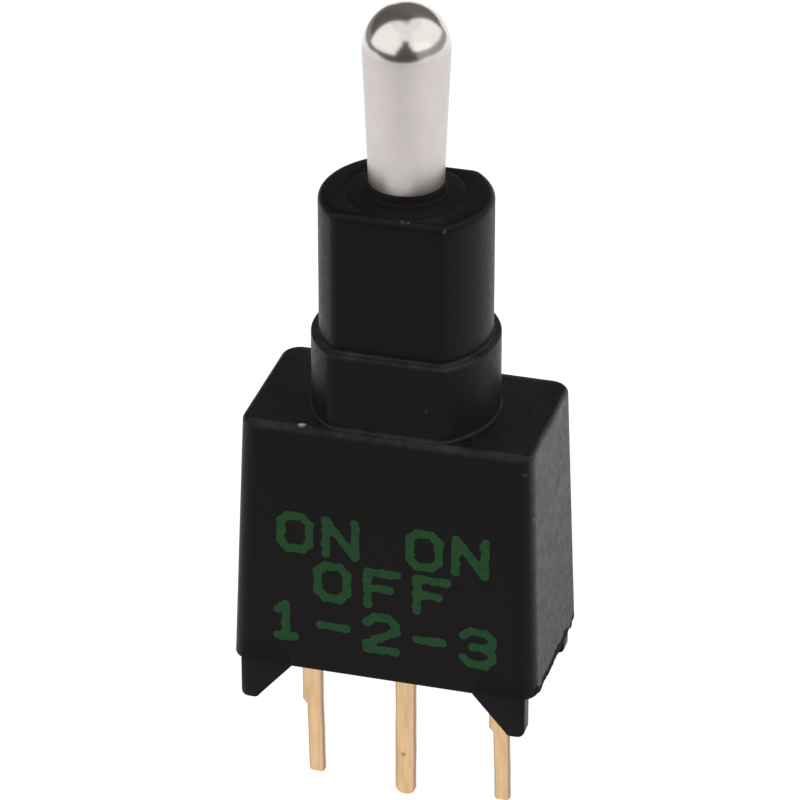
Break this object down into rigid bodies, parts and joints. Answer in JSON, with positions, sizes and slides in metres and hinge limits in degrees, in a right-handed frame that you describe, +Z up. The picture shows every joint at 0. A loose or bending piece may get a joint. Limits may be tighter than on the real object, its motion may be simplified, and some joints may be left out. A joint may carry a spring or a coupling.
{
  "type": "toggle switch",
  "caption": "Ultraminiature through-hole toggle switch with a tapered metal lever, a moulded double-D bushing and a row of gold pins.",
  "frame": {"origin": "middle of the terminal row on the board's surface, level with the tips of the four feet", "axes": "+Z up the lever, X along the terminal row with the steps of the end pins towards -X, -Y is the marked front"},
  "size_m": [0.008, 0.0048, 0.0229],
  "materials": {
    "housing": "black moulded glass-filled plastic",
    "base": "black moulded thermoset",
    "seal_resin": "poured epoxy",
    "terminal": "gold-plated brass",
    "contact": "gold-plated contact",
    "rocker": "gold-plated spring bronze",
    "lever": "satin nickel plate on brass, polished dome",
    "pin_steel": "ground steel",
    "seal_rubber": "nitrile rubber",
    "plunger": "natural nylon",
    "spring_steel": "spring wire"
  },
  "bodies": {
    "housing": {"housing": "housing", "base": "base", "terminal_seal": "seal_resin", "terminal_left": "terminal", "terminal_common": "terminal", "terminal_right": "terminal", "contact_left": "contact", "contact_right": "contact"},
    "lever": {"lever": "lever", "pivot_pin": "pin_steel", "lever_seal": "seal_rubber", "plunger_spring": "spring_steel"},
    "plunger": {"plunger": "plunger"},
    "rocker": {"rocker": "rocker", "rocker_contact_left": "contact", "rocker_contact_right": "contact"}
  },
  "joints": [
    {"name": "lever_tilt", "type": "hinge", "parent": "housing", "child": "lever", "pos_m": [0, 0, 0.01197], "axis": [0, 1, 0], "range_deg": [-12, 12]},
    {"name": "plunger_slide", "type": "slide", "parent": "lever", "child": "plunger", "axis": [0, 0, 1], "range_m": [0, 0.0003], "stiffness_N_per_m": 300, "springref_m": -0.0015, "deforming": ["plunger_spring"]},
    {"name": "rocker_tilt", "type": "hinge", "parent": "housing", "child": "rocker", "pos_m": [0, 0, 0.00505], "axis": [0, 1, 0], "range_deg": [-6.5, 6.5]}
  ],
  "couplings": [
    {"joint": "rocker_tilt", "follows": "lever_tilt", "ratio": -0.5416}
  ]
}
